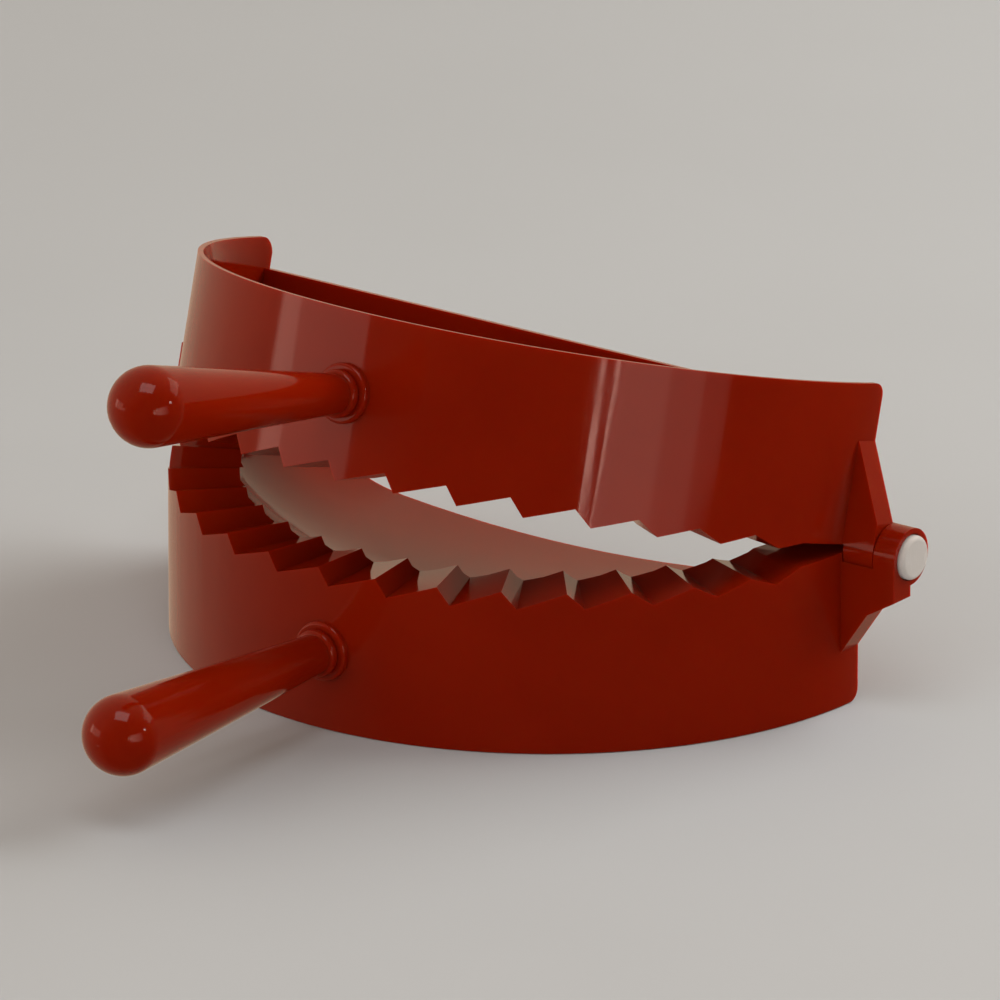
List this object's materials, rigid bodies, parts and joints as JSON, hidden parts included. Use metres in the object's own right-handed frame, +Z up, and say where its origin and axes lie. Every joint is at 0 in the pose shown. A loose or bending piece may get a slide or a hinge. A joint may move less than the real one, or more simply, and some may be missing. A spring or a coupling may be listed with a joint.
{
  "type": "empanada press",
  "caption": "Hinged half-round dough press with pleated sealing rims, shallow filling bowls, turned handles and headed hinge pins, standing part open on its cutter rim.",
  "frame": {"origin": "on the table, straight below the middle of the hinge line: the centre of the lower jaw's half-round cutter rim", "axes": "+Z up, +X along the hinge line to the right as seen from the handles, -Y from the hinge line towards the handles"},
  "size_m": [0.207, 0.1821, 0.1061],
  "materials": {
    "red_plastic": "glossy moulded plastic, deep red",
    "white_plastic": "smooth white plastic",
    "screw_steel": "plated steel"
  },
  "bodies": {
    "lower_half": {"lower_jaw": "red_plastic", "lower_handle": "red_plastic", "lower_handle_screw": "screw_steel", "left_hinge_pin": "white_plastic"},
    "upper_half": {"upper_jaw": "red_plastic", "upper_handle": "red_plastic", "upper_handle_screw": "screw_steel", "right_hinge_pin": "white_plastic"}
  },
  "joints": [
    {"name": "jaw_hinge", "type": "hinge", "parent": "lower_half", "child": "upper_half", "pos_m": [0, 0, 0.0375], "axis": [-1, 0, 0], "range_deg": [-15.5, 164.5]}
  ]
}
